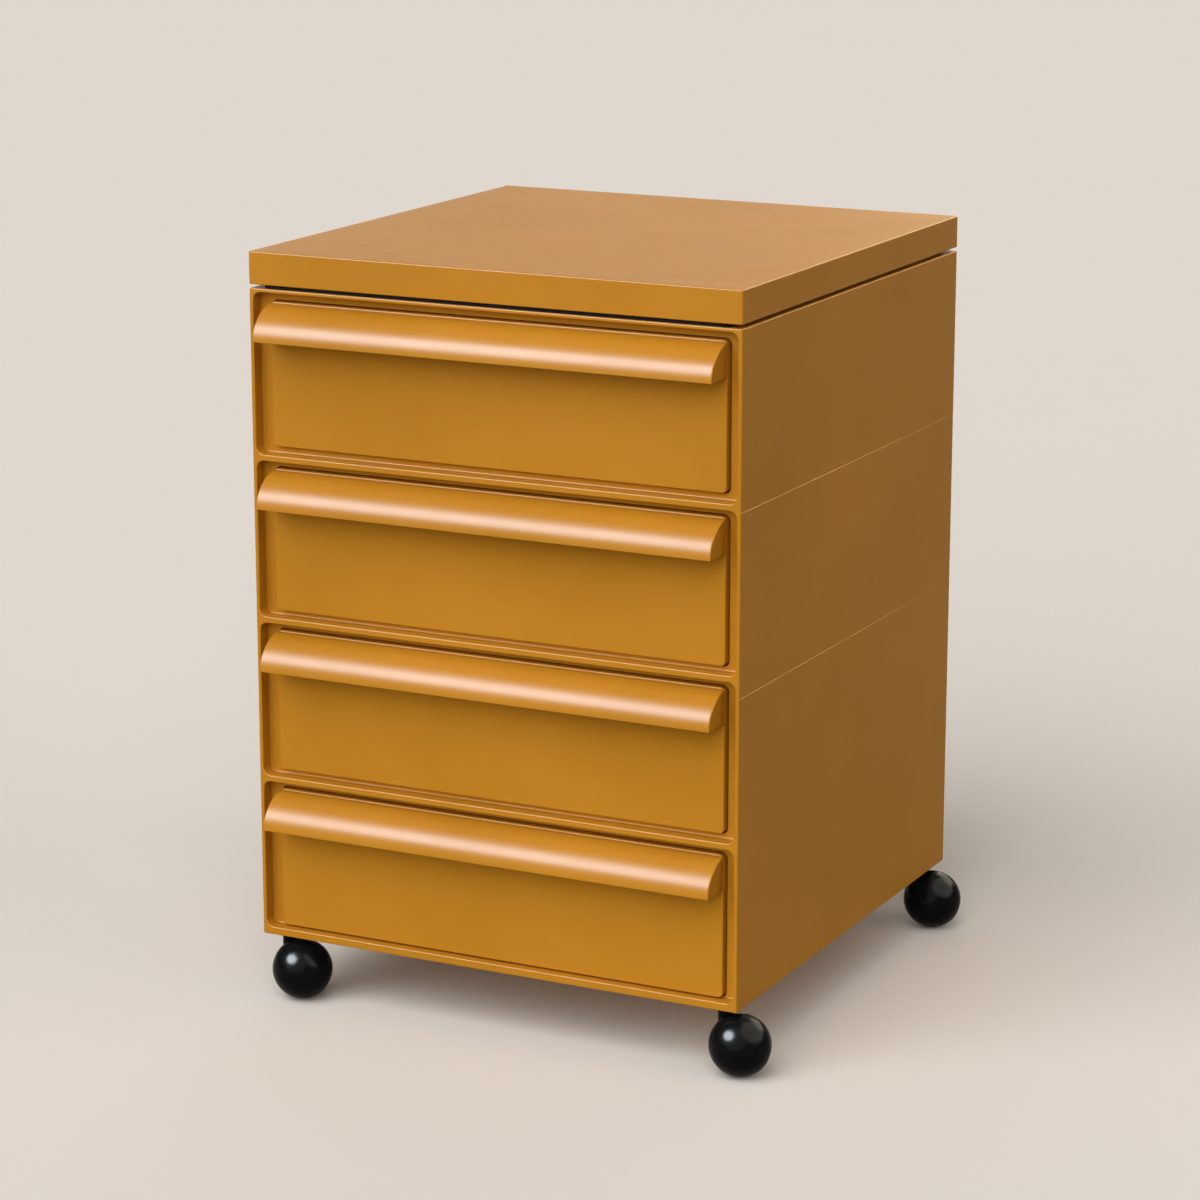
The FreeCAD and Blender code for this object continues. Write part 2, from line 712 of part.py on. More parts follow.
def caster_plate(sx, sy):
    x, y = sx * pivot_x, sy * pivot_y
    x0, x1 = sorted((x + sx * mount_outward, x - sx * mount_inward))
    y0, y1 = sorted((y + sy * mount_outward, y - sy * mount_inward))
    shape = rounded_block(x0, x1, y0, y1, base, base + mount_plate, 3.0, V(0, 0, 1))
    shape = shape.cut(rod(pivot_radius + 0.02, V(x, y, base - 1), V(0, 0, 1), mount_plate + 2))
    for px, py in mount_screw_places(sx, sy):
        shape = shape.cut(rod(small_screw_radius + fit_gap, V(px, py, base - 1), V(0, 0, 1), mount_plate + 2))
    return shape


def pivot_pin(sx, sy):
    foot = V(sx * pivot_x, sy * pivot_y, stem_foot + 2.5)
    top = base + mount_plate
    shape = fuse([rod(pivot_radius, foot, V(0, 0, 1), top - foot.z),
                  rod(pivot_head_radius, V(foot.x, foot.y, top), V(0, 0, 1), pivot_head)])
    return shape.cut(ring(pivot_radius + 1, pivot_radius - 0.8, grip_ring_height,
                          V(foot.x, foot.y, grip_ring_level)))


def grip_ring(sx, sy):
    # Open spring ring, seated in the pin's groove and turning in the stem's wider bore
    centre = V(sx * pivot_x, sy * pivot_y, grip_ring_level)
    shape = ring(grip_ring_radius, pivot_radius - 0.75, grip_ring_height, centre)
    mouth = block(-0.8, 0.8, 0, grip_ring_radius + 1, -1, grip_ring_height + 1)
    mouth.translate(centre)
    return shape.cut(mouth)


def build():
    for name, shape in housings().items():
        save(name, shape)
    save("cover", cover())
    save("cover_spacer", cover_spacer())
    reach = top_rim + shadow_gap + cover_screw_bite
    save("cover_screws", [screw(screw_radius, reach, head_radius, head_height, V(x, y, bays[0]["ceiling"]),
                                V(0, 0, 1)) for x, y in cover_screw_places()])
    for name, joint in (("upper_pegs", upper_joint), ("lower_pegs", lower_joint)):
        save(name, [rod(peg_radius, V(x, y, joint - peg_length / 2), V(0, 0, 1), peg_length)
                    for x, y in peg_places()])

    screws, buffers = [], []
    for number, bay in enumerate(bays, 1):
        right = runner(bay)
        save("runner_%d_right" % number, right)
        save("runner_%d_left" % number, mirrored(right))
        for y in runner_screws_y:
            one = runner_screw(bay, y)
            screws += [one, mirrored(one)]
        buffers += [buffer(bay), mirrored(buffer(bay))]
        save("front_%d" % number, panel_front(bay))
        save("pull_%d" % number, pull(bay))
        save("tray_%d" % number, tray(bay))
        save("pull_screws_%d" % number, pull_screws(bay))
    save("runner_screws", screws)
    save("stop_buffers", buffers)

    plate_screws, washers, grip_rings = [], [], []
    for name, (sx, sy) in corners.items():
        save("caster_plate_" + name, caster_plate(sx, sy))
        save("pivot_pin_" + name, pivot_pin(sx, sy))
        save("caster_body_" + name, caster_body(sx, sy))
        save("wheel_" + name, wheel(sx, sy))
        save("axle_" + name, axle(sx, sy))
        reach = mount_plate + plate_screw_bite
        plate_screws += [screw(small_screw_radius, reach, small_head_radius, small_head_height, V(x, y, base),
                               V(0, 0, 1)) for x, y in mount_screw_places(sx, sy)]
        washers.append(ring(washer_radius, pivot_radius + fit_gap, washer_thickness,
                            V(sx * pivot_x, sy * pivot_y, base - washer_thickness)))
        grip_rings.append(grip_ring(sx, sy))
    save("plate_screws", plate_screws)
    save("thrust_washers", washers)
    save("grip_rings", grip_rings)


build()
print("overall", round(right_reach - left_reach, 1), round(back_reach - front_reach, 1), round(total_height, 1))
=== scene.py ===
import json
import math

import bmesh
import bpy
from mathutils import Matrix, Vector

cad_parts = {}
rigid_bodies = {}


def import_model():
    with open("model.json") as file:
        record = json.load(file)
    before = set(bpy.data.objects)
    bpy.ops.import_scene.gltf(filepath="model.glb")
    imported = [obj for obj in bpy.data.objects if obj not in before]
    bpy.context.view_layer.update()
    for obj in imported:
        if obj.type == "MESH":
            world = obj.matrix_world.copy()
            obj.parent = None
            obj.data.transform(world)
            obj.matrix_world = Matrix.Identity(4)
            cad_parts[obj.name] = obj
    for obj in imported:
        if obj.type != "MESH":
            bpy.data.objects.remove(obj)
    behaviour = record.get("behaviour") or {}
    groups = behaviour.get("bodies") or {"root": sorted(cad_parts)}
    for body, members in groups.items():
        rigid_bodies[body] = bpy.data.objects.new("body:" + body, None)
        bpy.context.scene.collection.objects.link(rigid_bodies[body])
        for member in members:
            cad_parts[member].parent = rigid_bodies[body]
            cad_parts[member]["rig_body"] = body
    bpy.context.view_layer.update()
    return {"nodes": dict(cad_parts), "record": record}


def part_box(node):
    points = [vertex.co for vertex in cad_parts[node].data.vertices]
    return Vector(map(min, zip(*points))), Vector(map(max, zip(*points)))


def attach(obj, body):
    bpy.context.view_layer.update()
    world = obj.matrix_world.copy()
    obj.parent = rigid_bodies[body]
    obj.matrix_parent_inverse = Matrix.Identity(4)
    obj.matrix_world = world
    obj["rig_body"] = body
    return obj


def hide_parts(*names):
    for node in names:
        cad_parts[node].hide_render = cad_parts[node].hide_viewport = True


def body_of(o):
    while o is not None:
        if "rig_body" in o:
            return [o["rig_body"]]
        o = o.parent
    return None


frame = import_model()
nodes = frame["nodes"]
scene = bpy.context.scene
print("frame loaded:", len(nodes), "nodes")

mm = 0.001
near = 1e-6   # this close to a plane counts as on it
quarter = math.radians(90)
alongX, alongY, alongZ = Vector((1, 0, 0)), Vector((0, 1, 0)), Vector((0, 0, 1))
middle = Vector((-12.5, 10.4, 0.0)) * mm   # middle of the housings, on the floor
drawers = {1: 458.7, 2: 325.1, 3: 192.9, 4: 60.7}   # foot of each drawer front above the floor


def tone(red, green, blue):
    # screen colour 0-255 to the linear value that a shader takes
    def linear(value):
        value /= 255.0
        return value / 12.92 if value <= 0.04045 else ((value + 0.055) / 1.055) ** 2.4
    return (linear(red), linear(green), linear(blue), 1.0)


def clearSelection():
    if bpy.context.object and bpy.context.object.mode != "OBJECT":
        bpy.ops.object.mode_set(mode="OBJECT")
    bpy.ops.object.select_all(action="DESELECT")


def editSelect(piece, kind, test):
    # edit mode, with only the parts of the mesh that pass the test selected
    if bpy.context.object.mode != "EDIT":
        bpy.ops.object.mode_set(mode="EDIT")
    bpy.ops.mesh.select_mode(type=kind)
    bpy.ops.mesh.select_all(action="DESELECT")
    shape = bmesh.from_edit_mesh(piece.data)
    parts = {"VERT": shape.verts, "EDGE": shape.edges, "FACE": shape.faces}[kind]
    for part in parts:
        if test(part):
            part.select_set(True)
    shape.select_flush_mode()
    bmesh.update_edit_mesh(piece.data)


def edgeAlong(edge, axis):
    run = (edge.verts[1].co - edge.verts[0].co).normalized()
    return abs(run.dot(axis)) > 0.999


def middleOf(edge):
    return (edge.verts[0].co + edge.verts[1].co) / 2


def everyPart(part):
    return True


def roundOver(piece, width, segments, test):
    # rounds the edges that pass the test
    editSelect(piece, "EDGE", test)
    bpy.ops.mesh.bevel(offset=width * mm, offset_type="OFFSET", segments=segments, profile=0.5)


def pushFaces(x, y, z):
    bpy.ops.mesh.extrude_region_move(TRANSFORM_OT_translate={"value": (x * mm, y * mm, z * mm)})


def applyPlace():
    bpy.ops.object.transform_apply(location=True, rotation=True, scale=True)


def giveWall(piece, thickness):
    # wall grown inwards from the skin
    wall = piece.modifiers.new("wall", "SOLIDIFY")
    wall.thickness = thickness * mm
    wall.offset = -1.0
    wall.use_even_offset = True
    bpy.ops.object.modifier_apply(modifier=wall.name)


def smoothShade(piece, angle):
    # smooth across rounded edges, with the large faces kept flat
    bpy.ops.object.shade_smooth_by_angle(angle=math.radians(angle))
    even = piece.modifiers.new("even", "WEIGHTED_NORMAL")
    even.keep_sharp = True
    even.weight = 60
    bpy.ops.object.modifier_apply(modifier=even.name)


def finishPiece(piece, name, material, body, slotName, *replaced):
    piece.name = name
    piece.data.name = name
    piece.data.materials.clear()
    piece.data.materials.append(material)
    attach(piece, body)
    if replaced:
        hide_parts(*replaced)


def duplicateOf(piece):
    clearSelection()
    piece.select_set(True)
    bpy.context.view_layer.objects.active = piece
    bpy.ops.object.duplicate(linked=False)
    return bpy.context.object


def copyOf(piece, shift):
    twin = duplicateOf(piece)
    twin.location = Vector(shift)
    bpy.ops.object.transform_apply(location=True, rotation=False, scale=False)
    return twin


def joinTo(piece, other):
    clearSelection()
    other.select_set(True)
    piece.select_set(True)
    bpy.context.view_layer.objects.active = piece
    bpy.ops.object.join()


def newMaterial(name):
    material = bpy.data.materials.new(name)
    material.use_nodes = True
    tree = material.node_tree
    shader = tree.nodes["Principled BSDF"]
    place = tree.nodes.new("ShaderNodeTexCoord")
    place.location = (-1100, 0)
    return material, tree, shader, place


def noiseOn(tree, place, size, detail, roughness, y):
    # noise whose grains are about size metres across
    noise = tree.nodes.new("ShaderNodeTexNoise")
    noise.inputs["Scale"].default_value = 1.0 / size
    noise.inputs["Detail"].default_value = detail
    noise.inputs["Roughness"].default_value = roughness
    noise.location = (-850, y)
    tree.links.new(place.outputs["Object"], noise.inputs["Vector"])
    return noise


def colourOn(tree, shader, source, low, high, look, y):
    ramp = tree.nodes.new("ShaderNodeValToRGB")
    ramp.color_ramp.elements[0].position = low
    ramp.color_ramp.elements[0].color = tone(*look["dark"])
    ramp.color_ramp.elements[1].position = high
    ramp.color_ramp.elements[1].color = tone(*look["light"])
    ramp.location = (-600, y)
    tree.links.new(source.outputs["Fac"], ramp.inputs["Fac"])
    tree.links.new(ramp.outputs["Color"], shader.inputs["Base Color"])


def roughOn(tree, shader, source, low, high, y):
    spread = tree.nodes.new("ShaderNodeMapRange")
    spread.inputs["To Min"].default_value = low
    spread.inputs["To Max"].default_value = high
    spread.location = (-600, y)
    tree.links.new(source.outputs["Fac"], spread.inputs["Value"])
    tree.links.new(spread.outputs["Result"], shader.inputs["Roughness"])


def bumpOn(tree, shader, source, strength, distance, y, under=None):
    bump = tree.nodes.new("ShaderNodeBump")
    bump.inputs["Strength"].default_value = strength
    bump.inputs["Distance"].default_value = distance
    bump.location = (-300, y)
    tree.links.new(source.outputs["Fac"], bump.inputs["Height"])
    if under is not None:
        tree.links.new(under.outputs["Normal"], bump.inputs["Normal"])
    tree.links.new(bump.outputs["Normal"], shader.inputs["Normal"])
    return bump


# in every look a noise is size, detail and roughness, and a bump is strength and distance
ochreLook = {"light": (179, 120, 30), "dark": (172, 115, 26), "cloud": (0.16, 3.0, 0.55),
             "rub": (0.035, 5.0, 0.6), "rough": (0.28, 0.38),
             "wave": (0.07, 1.0, 0.4), "waveBump": (0.2, 0.0012),
             "grain": (0.0011, 2.0, 0.5), "grainBump": (0.06, 0.0002), "ior": 1.49, "gloss": 0.035}


def ochrePlastic():
    # satin moulded plastic: faint clouding, eggshell grain and a slow waviness in the walls
    material, tree, shader, place = newMaterial("ochrePlastic")
    cloud = noiseOn(tree, place, *ochreLook["cloud"], 300)
    colourOn(tree, shader, cloud, 0.35, 0.65, ochreLook, 300)
    rub = noiseOn(tree, place, *ochreLook["rub"], 0)
    roughOn(tree, shader, rub, *ochreLook["rough"], 0)
    wave = noiseOn(tree, place, *ochreLook["wave"], -300)
    slow = bumpOn(tree, shader, wave, *ochreLook["waveBump"], -300)
    grain = noiseOn(tree, place, *ochreLook["grain"], -550)
    bumpOn(tree, shader, grain, *ochreLook["grainBump"], -550, slow)
    shader.inputs["IOR"].default_value = ochreLook["ior"]
    shader.inputs["Specular IOR Level"].default_value = ochreLook["gloss"]
    return material


casterLook = {"light": (14, 14, 15), "dark": (7, 7, 8), "haze": (0.012, 4.0, 0.6),
              "scuff": (0.004, 6.0, 0.7), "rough": (0.17, 0.25), "bump": (0.03, 0.0001),
              "ior": 1.5, "gloss": 0.036}


def casterBlack():
    # polished black ball with the fine haze of a wheel that has run on floors
    material, tree, shader, place = newMaterial("casterBlack")
    haze = noiseOn(tree, place, *casterLook["haze"], 200)
    colourOn(tree, shader, haze, 0.3, 0.7, casterLook, 200)
    scuff = noiseOn(tree, place, *casterLook["scuff"], -50)
    roughOn(tree, shader, scuff, *casterLook["rough"], -50)
    bumpOn(tree, shader, scuff, *casterLook["bump"], -300)
    shader.inputs["IOR"].default_value = casterLook["ior"]
    shader.inputs["Specular IOR Level"].default_value = casterLook["gloss"]
    return material


innerLooks = {
    # black plastic, made darker and nearly unreflective as painted shade so the shallow gap under the
    # cover looks deep and black
    "dark_plastic": {"name": "darkPlasticPaintedShade", "light": (9, 8, 8), "dark": (5, 4, 4),
                     "cloud": (0.02, 3.0, 0.5), "rough": (0.5, 0.68),
                     "grain": (0.0008, 2.0, 0.5), "bump": (0.12, 0.0002),
                     "sockets": {"Specular IOR Level": 0.015}},
    "natural_plastic": {"name": "naturalPlastic", "light": (222, 218, 206), "dark": (206, 202, 188),
                        "cloud": (0.008, 3.0, 0.5), "rough": (0.42, 0.58), "bump": (0.05, 0.0002),
                        "sockets": {"Subsurface Weight": 0.05,
                                    "Subsurface Radius": (0.002, 0.002, 0.0015)}},
    "soft_rubber": {"name": "softRubber", "light": (46, 45, 43), "dark": (30, 29, 28),
                    "cloud": (0.004, 4.0, 0.6), "rough": (0.72, 0.88), "bump": (0.1, 0.0002),
                    "sockets": {}},
    "steel": {"name": "platedSteel", "light": (206, 206, 204), "dark": (168, 170, 176),
              "cloud": (0.003, 4.0, 0.6), "rough": (0.22, 0.42), "bump": (0.05, 0.0001),
              "sockets": {"Metallic": 1.0}}}


def innerFinish(look):
    # one clouding drives colour, gloss and bump, unless the look has a grain of its own
    material, tree, shader, place = newMaterial(look["name"])
    cloud = noiseOn(tree, place, *look["cloud"], 200)
    colourOn(tree, shader, cloud, 0.3, 0.7, look, 200)
    roughOn(tree, shader, cloud, *look["rough"], 0)
    grain = noiseOn(tree, place, *look["grain"], -200) if "grain" in look else cloud
    bumpOn(tree, shader, grain, *look["bump"], -200)
    for socket, value in look["sockets"].items():
        shader.inputs[socket].default_value = value
    return material


finishes = {"shell": ochrePlastic(), "caster_black": casterBlack()}
for slotName, innerLook in innerLooks.items():
    finishes[slotName] = innerFinish(innerLook)

for part in frame["record"]["subparts"]:
    carried = nodes[part["node"]]
    carried.data.materials.clear()
    carried.data.materials.append(finishes[part["material_slot"]])
print("finishes on the carried nodes")


# all lengths in the dictionaries of the pieces are in mm, and all turns in degrees
shellEdges = {"cover": (588.1, 0.9), "housing_top": (585.1, 1.0), "housing_bottom": (53.0, 0.9)}
outer = {"side": 212.5, "front": 215.0, "near": 0.6, "level": 0.02, "shade": 32}


def outerRim(level):
    # edges round the outside of the cabinet at one level
    def onRim(end):
        inX = outer["side"] * mm - abs(end.co.x - middle.x)
        inY = outer["front"] * mm - abs(end.co.y - middle.y)
        inside = min(inX, inY) < outer["near"] * mm
        return abs(end.co.z - level * mm) < outer["level"] * mm and inside
    return lambda edge: all(onRim(end) for end in edge.verts)


def makeShell(nodeName):
    # merged copy of a carried shell, its fillets shaded smooth and its sharp outer rim eased
    piece = duplicateOf(nodes[nodeName])
    for word in list(piece.keys()):
        del piece[word]
    editSelect(piece, "VERT", everyPart)
    bpy.ops.mesh.remove_doubles(threshold=near)
    bpy.ops.mesh.dissolve_limited(angle_limit=math.radians(0.5))
    if nodeName in shellEdges:
        level, ease = shellEdges[nodeName]
        roundOver(piece, ease, 4, outerRim(level))
    bpy.ops.object.mode_set(mode="OBJECT")
    smoothShade(piece, outer["shade"])
    return piece


for nodeName, name in (("cover", "topCover"), ("housing_top", "housingTop"),
                       ("housing_middle", "housingMiddle"), ("housing_bottom", "housingBottom")):
    finishPiece(makeShell(nodeName), name, finishes["shell"], body_of(nodes[nodeName])[0],
                "shell", nodeName)
print("cover and housings")


frontPanel = {"width": 395.0, "height": 116.0, "face": -208.5, "depth": 9.0, "corner": 4.0,
              "edge": 1.3, "wall": 2.5, "thick": 3.0, "shade": 32}


def makeFront():
    # shallow pan for the top drawer: soft face edges, hollow behind
    v = frontPanel
    yFace = middle.y + v["face"] * mm
    yBack = yFace + v["depth"] * mm
    place = (middle.x, middle.y + (v["face"] + v["depth"] / 2) * mm,
             (drawers[1] + v["height"] / 2) * mm)
    clearSelection()
    bpy.ops.mesh.primitive_cube_add(size=1.0, location=place)
    piece = bpy.context.object
    piece.scale = (v["width"] * mm, v["depth"] * mm, v["height"] * mm)
    applyPlace()
    roundOver(piece, v["corner"], 8, lambda edge: edgeAlong(edge, alongY))
    roundOver(piece, v["edge"], 5,
              lambda edge: all(abs(end.co.y - yFace) < near for end in edge.verts))
    editSelect(piece, "FACE", lambda face: face.normal.y > 0.99
               and abs(face.calc_center_median().y - yBack) < 10 * near)
    bpy.ops.mesh.inset(thickness=v["wall"] * mm, depth=0.0)
    pushFaces(0, -(v["depth"] - v["thick"]), 0)
    bpy.ops.object.mode_set(mode="OBJECT")
    smoothShade(piece, v["shade"])
    return piece


hoodPull = {"width": 395.0, "out": 28.0, "nose": 23.0, "noseTurn": 36.0, "firstTurn": 2.0,
            "noseSteps": 12, "crown": 33.0, "crownSteps": 22, "drop": 1.6, "wall": 3.0,
            "edge": 1.0, "lip": 0.8, "shade": 32}


def makePull():
    # the skin is spun in two arcs, closed into a block, rounded at the ends, opened and walled
    v = hoodPull
    turn = math.radians(v["noseTurn"])
    firstTurn = math.radians(v["firstTurn"])
    shift = v["crown"] - v["nose"]
    noseOut = v["out"] - v["nose"]
    crownOut, crownUp = noseOut - shift * math.cos(turn), -shift * math.sin(turn)
    endTurn = math.acos(-crownOut / v["crown"])
    height = crownUp + math.sqrt(v["crown"] ** 2 - crownOut ** 2)
    yFace = middle.y + frontPanel["face"] * mm
    foot = (drawers[1] + frontPanel["height"] - v["drop"] - height) * mm
    strip = v["nose"] * math.sin(firstTurn) * mm
    top = foot + strip
    left = middle.x - v["width"] / 2 * mm
    right = middle.x + v["width"] / 2 * mm

    clearSelection()
    bpy.ops.mesh.primitive_plane_add(size=1.0, rotation=(quarter, 0, 0),
                                     location=(middle.x, yFace - v["out"] * mm, foot + strip / 2))
    piece = bpy.context.object
    piece.scale = (v["width"] * mm, strip, 1.0)
    applyPlace()
    editSelect(piece, "EDGE", lambda edge: all(abs(end.co.z - top) < near / 10 for end in edge.verts))
    bpy.ops.mesh.spin(steps=v["noseSteps"], angle=turn - firstTurn, axis=(1, 0, 0),
                      center=(middle.x, yFace - noseOut * mm, foot))
    bpy.ops.mesh.spin(steps=v["crownSteps"], angle=endTurn - turn, axis=(1, 0, 0),
                      center=(middle.x, yFace - crownOut * mm, foot + crownUp * mm))
    pushFaces(0, 0, -height)
    editSelect(piece, "EDGE", lambda edge: edge.is_boundary and edgeAlong(edge, alongX))
    bpy.ops.mesh.edge_face_add()
    for x in (left, right):
        editSelect(piece, "EDGE", lambda edge: edge.is_boundary
                   and all(abs(end.co.x - x) < near for end in edge.verts))
        bpy.ops.mesh.edge_face_add()
    bpy.ops.mesh.select_all(action="SELECT")
    bpy.ops.mesh.remove_doubles(threshold=near)
    bpy.ops.mesh.normals_make_consistent(inside=False)

    def endRim(edge):
        spot = middleOf(edge)
        atEnd = abs(spot.x - left) < near or abs(spot.x - right) < near
        return atEnd and spot.y < yFace - near and spot.z > foot + near and not edgeAlong(edge, alongX)

    def frontLip(edge):
        spot = middleOf(edge)
        return edgeAlong(edge, alongX) and spot.z < foot + near and spot.y < yFace - v["out"] / 2 * mm

    roundOver(piece, v["edge"], 4, endRim)
    editSelect(piece, "FACE", lambda face: face.normal.z < -0.99 or face.normal.y > 0.99)
    bpy.ops.mesh.delete(type="FACE")
    bpy.ops.object.mode_set(mode="OBJECT")
    giveWall(piece, v["wall"])
    roundOver(piece, v["lip"], 4, frontLip)
    bpy.ops.object.mode_set(mode="OBJECT")
    smoothShade(piece, v["shade"])
    return piece


firstFront = makeFront()
firstPull = makePull()
for number in sorted(drawers, reverse=True):
    rise = (drawers[number] - drawers[1]) * mm
    front = firstFront if number == 1 else copyOf(firstFront, (0, 0, rise))
    hood = firstPull if number == 1 else copyOf(firstPull, (0, 0, rise))
    body = "drawer_%d" % number
    finishPiece(front, "drawerFront%d" % number, finishes["shell"], body, "shell",
                "front_%d" % number)
    finishPiece(hood, "hoodPull%d" % number, finishes["shell"], body, "shell",
                "pull_%d" % number)
print("drawer fronts and pulls")


ballWheel = {"radius": 25.0, "flat": 0.75, "rim": 0.5, "wall": 4.0, "deep": 14.0, "taper": 0.72,
             "hub": 6.5, "shade": 30}


def addBall(radius, centre):
    # ball with its poles on the axle line
    clearSelection()
    bpy.ops.mesh.primitive_uv_sphere_add(segments=72, ring_count=48, radius=radius * mm,
                                         location=centre, rotation=(quarter, 0, 0))
    applyPlace()
    return bpy.context.object


def addRod(radius, length, vertices, place, turn):
    clearSelection()
    bpy.ops.mesh.primitive_cylinder_add(vertices=vertices, radius=radius * mm, depth=length,
                                        location=place, rotation=(turn, 0, 0))
    applyPlace()
    return bpy.context.object


def makeWheel(centre):
    # half ball: cut flat, rim eased, hollowed round a hub
    v = ballWheel
    piece = addBall(v["radius"], centre)
    flat = centre.y + v["flat"] * mm
    editSelect(piece, "FACE", everyPart)
    bpy.ops.mesh.bisect(plane_co=(centre.x, flat, centre.z), plane_no=(0, 1, 0), clear_outer=True,
                        use_fill=True)
    roundOver(piece, v["rim"], 4,
              lambda edge: all(abs(end.co.y - flat) < near for end in edge.verts))
    editSelect(piece, "FACE", lambda face: face.normal.y > 0.999 and len(face.verts) > 8)
    bpy.ops.mesh.inset(thickness=(v["wall"] - v["rim"]) * mm, depth=0.0)
    pushFaces(0, -v["deep"], 0)
    bpy.ops.transform.resize(value=(v["taper"], 1.0, v["taper"]), center_override=centre)
    inner = (v["radius"] - v["wall"]) * v["taper"]
    bpy.ops.mesh.inset(thickness=(inner - v["hub"]) * mm, depth=0.0)
    pushFaces(0, v["deep"], 0)
    bpy.ops.object.mode_set(mode="OBJECT")
    smoothShade(piece, v["shade"])
    return piece


casterHood = {"radius": 24.2, "web": 1.25, "rim": 0.4, "wall": 2.4, "foot": 6.0, "stem": 6.25,
              "stemFoot": 31.0, "stemTop": 52.0, "stemEdge": 0.6, "trail": 16.0, "side": 7.5,
              "boss": 5.5, "shortEdge": 10.0, "shade": 30}


def makeHood(centre):
    # half-ball hood, open below, with the axle's boss and the stem that stands beside the ball
    v = casterHood
    flat = centre.y + v["web"] * mm
    piece = addBall(v["radius"], centre)
    editSelect(piece, "FACE", everyPart)
    bpy.ops.mesh.bisect(plane_co=(centre.x, flat, centre.z), plane_no=(0, 1, 0), clear_inner=True,
                        use_fill=True)
    bpy.ops.mesh.select_all(action="SELECT")
    bpy.ops.mesh.normals_make_consistent(inside=False)
    bpy.ops.mesh.bisect(plane_co=(centre.x, centre.y, v["foot"] * mm), plane_no=(0, 0, 1),
                        clear_inner=True)
    bpy.ops.object.mode_set(mode="OBJECT")
    giveWall(piece, v["wall"])

    def onRim(end):
        return abs(end.co.y - flat) < near and (end.co - centre).length > (v["radius"] - 0.01) * mm

    roundOver(piece, v["rim"], 4, lambda edge: all(onRim(end) for end in edge.verts)
              and edge.calc_length() < v["shortEdge"] * mm)
    bpy.ops.object.mode_set(mode="OBJECT")

    deep = (v["radius"] - v["wall"] - v["web"]) * mm
    bossPlace = (centre.x, flat + v["wall"] * mm / 2 + deep / 2, centre.z)
    joinTo(piece, addRod(v["boss"], deep, 48, bossPlace, quarter))

    tall = (v["stemTop"] - v["stemFoot"]) * mm
    stemPlace = (centre.x - v["trail"] * mm, centre.y + v["side"] * mm,
                 v["stemFoot"] * mm + tall / 2)
    stem = addRod(v["stem"], tall, 64, stemPlace, 0)
    roundOver(stem, v["stemEdge"], 3, lambda edge: not edgeAlong(edge, alongZ))
    bpy.ops.object.mode_set(mode="OBJECT")
    joinTo(piece, stem)
    smoothShade(piece, v["shade"])
    return piece


firstWheel = firstHood = None
for corner in ("front_left", "front_right", "rear_left", "rear_right"):
    low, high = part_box("wheel_" + corner)
    centre = Vector(((low[0] + high[0]) / 2, low[1] + ballWheel["radius"] * mm,
                     ballWheel["radius"] * mm))
    if firstWheel is None:
        firstCentre = centre
        firstWheel = wheel = makeWheel(centre)
        firstHood = hood = makeHood(centre)
    else:
        wheel = copyOf(firstWheel, centre - firstCentre)
        hood = copyOf(firstHood, centre - firstCentre)
    words = corner.split("_")
    spot = words[0] + words[1].capitalize()
    finishPiece(wheel, "ballWheel_" + spot, finishes["caster_black"], "wheel_" + corner,
                "caster_black", "wheel_" + corner)
    finishPiece(hood, "casterHood_" + spot, finishes["caster_black"], "caster_" + corner,
                "caster_black", "caster_body_" + corner)
print("casters")


# turn is a lamp's place round the cabinet, 0 in front of it and to the right above 0
paperLook = {"size": 60.0, "light": (222, 215, 208), "dark": (221, 214, 207),
             "paper": (0.4, 2.0, 0.5), "rough": 0.9, "gloss": 0.0}
worldLook = {"colour": (236, 234, 230), "strength": 0.27}
suns = {
    "broadLamp": {"energy": 3.6, "angle": 80.0, "tint": (1.0, 1.0, 1.0), "turn": -3.0,
                  "height": 36.0},
    "behindLamp": {"energy": 0.4, "angle": 50.0, "tint": (1.0, 0.99, 0.9), "turn": -157.0,
                   "height": 25.0},
    "rightLamp": {"energy": 0.5, "angle": 40.0, "tint": (1.0, 0.88, 0.75), "turn": 88.0,
                  "height": 26.0}}
softboxes = {
    "softbox": {"energy": 2450.0, "size": (2.5, 2.0), "tint": (0.84, 0.91, 1.0), "turn": -31.0,
                "height": 37.0, "distance": 3.6},
    "rightPanel": {"energy": 320.0, "size": (4.2, 3.6), "tint": (1.0, 0.95, 0.85), "turn": 96.0,
                   "height": 46.0, "distance": 2.4},
    "rimLamp": {"energy": 105.0, "size": (2.8, 1.5), "tint": (1.0, 0.88, 0.62), "turn": 163.0,
                "height": 29.0, "distance": 2.6}}
softboxAim = Vector((0, 0, 0.3))
photoCamera = {"azimuth": 26.68, "elevation": 13.94, "distance": 3.110,
               "target": (-25.2, 10.4, 307.7), "lens": 112.74, "sensor": 36.0}


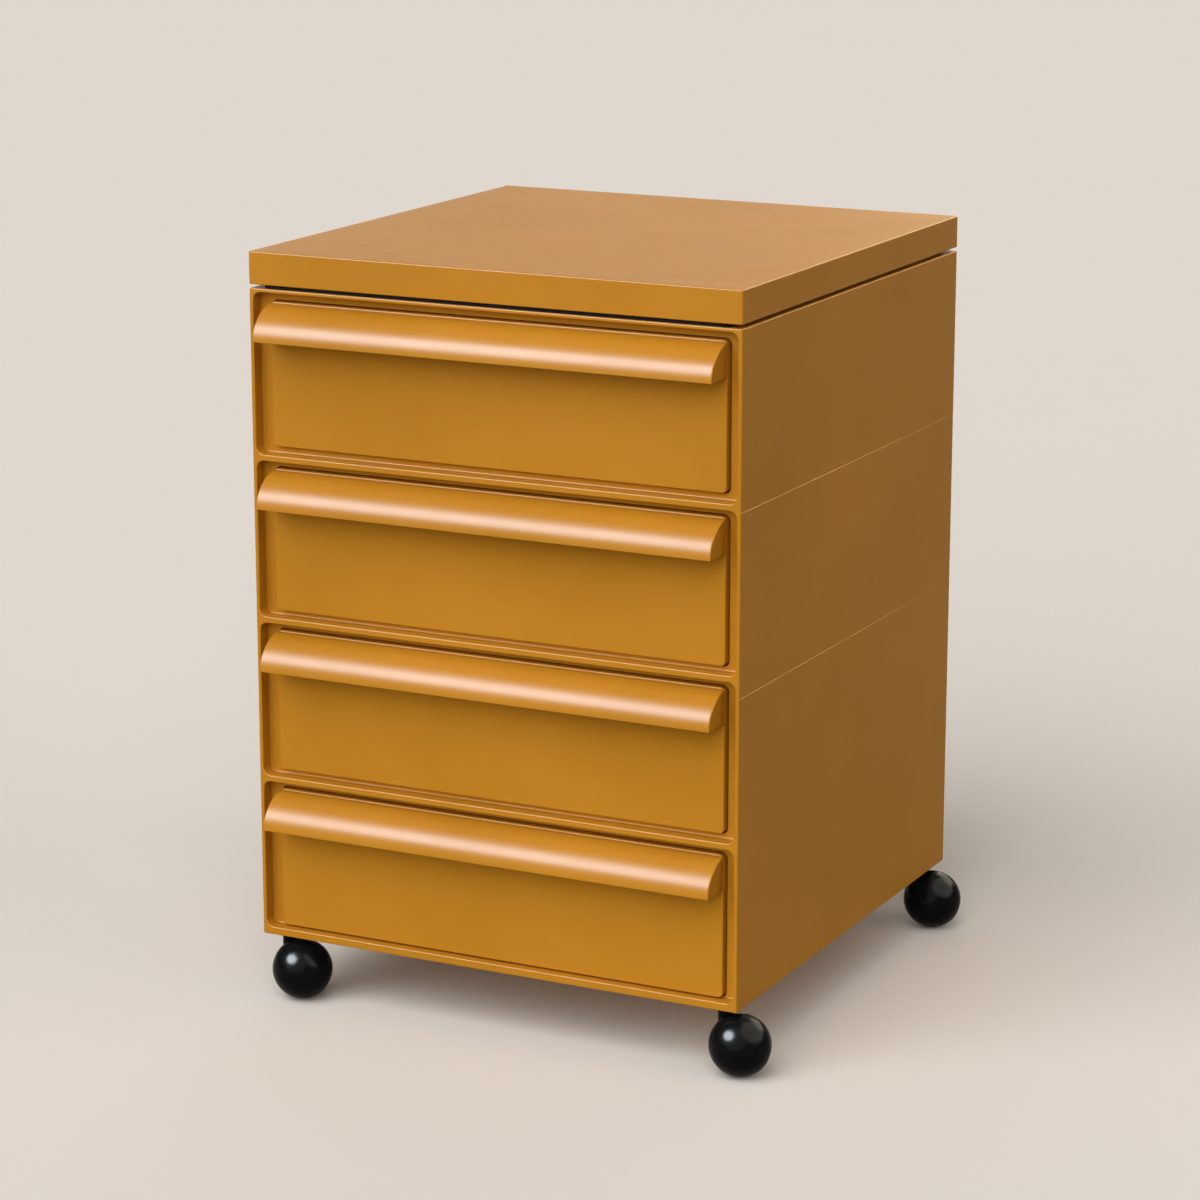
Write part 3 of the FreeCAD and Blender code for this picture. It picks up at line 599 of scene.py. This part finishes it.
def makeFloor():
    clearSelection()
    bpy.ops.mesh.primitive_plane_add(size=paperLook["size"], location=(0, 0, 0))
    floor = bpy.context.object
    floor.name = "studioFloor"
    material, tree, shader, place = newMaterial("studioPaper")
    paper = noiseOn(tree, place, *paperLook["paper"], 200)
    colourOn(tree, shader, paper, 0.2, 0.8, paperLook, 200)
    shader.inputs["Roughness"].default_value = paperLook["rough"]
    shader.inputs["Specular IOR Level"].default_value = paperLook["gloss"]
    floor.data.materials.append(material)
    floor.visible_diffuse = False


def makeWorld():
    world = bpy.data.worlds.new("studioWorld")
    scene.world = world
    world.use_nodes = True
    back = world.node_tree.nodes["Background"]
    back.inputs["Color"].default_value = tone(*worldLook["colour"])
    back.inputs["Strength"].default_value = worldLook["strength"]


def towards(turn, height):
    # direction from the cabinet to a place round it, both in radians
    return Vector((math.sin(turn) * math.cos(height), -math.cos(turn) * math.cos(height),
                   math.sin(height)))


def makeLamp(name, kind, look):
    light = bpy.data.lights.new(name, kind)
    light.energy = look["energy"]
    light.color = look["tint"]
    lamp = bpy.data.objects.new(name, light)
    scene.collection.objects.link(lamp)
    lamp.rotation_euler = (math.radians(90 - look["height"]), 0, math.radians(look["turn"]))
    return lamp


def makeSun(name, look):
    makeLamp(name, "SUN", look).data.angle = math.radians(look["angle"])


def makeSoftbox(name, look):
    # seen in gloss only: long highlights on the pulls, spots and dim sheets on the balls, lit seams
    lamp = makeLamp(name, "AREA", look)
    lamp.data.shape = "ELLIPSE"
    lamp.data.size, lamp.data.size_y = look["size"]
    lamp.visible_diffuse = False
    way = towards(math.radians(look["turn"]), math.radians(look["height"]))
    lamp.location = softboxAim + way * look["distance"]


def makeCamera():
    v = photoCamera
    lens = bpy.data.cameras.new("photoCamera")
    lens.lens = v["lens"]
    lens.sensor_width = v["sensor"]
    camera = bpy.data.objects.new("photoCamera", lens)
    scene.collection.objects.link(camera)
    turn, height = math.radians(v["azimuth"]), math.radians(v["elevation"])
    camera.location = Vector(v["target"]) * mm + towards(turn, height) * v["distance"]
    camera.rotation_euler = (quarter - height, 0, turn)
    scene.camera = camera


makeFloor()
makeWorld()
for name, look in suns.items():
    makeSun(name, look)
for name, look in softboxes.items():
    makeSoftbox(name, look)
makeCamera()
scene.view_settings.view_transform = "Standard"
print("studio and camera")

clearSelection()
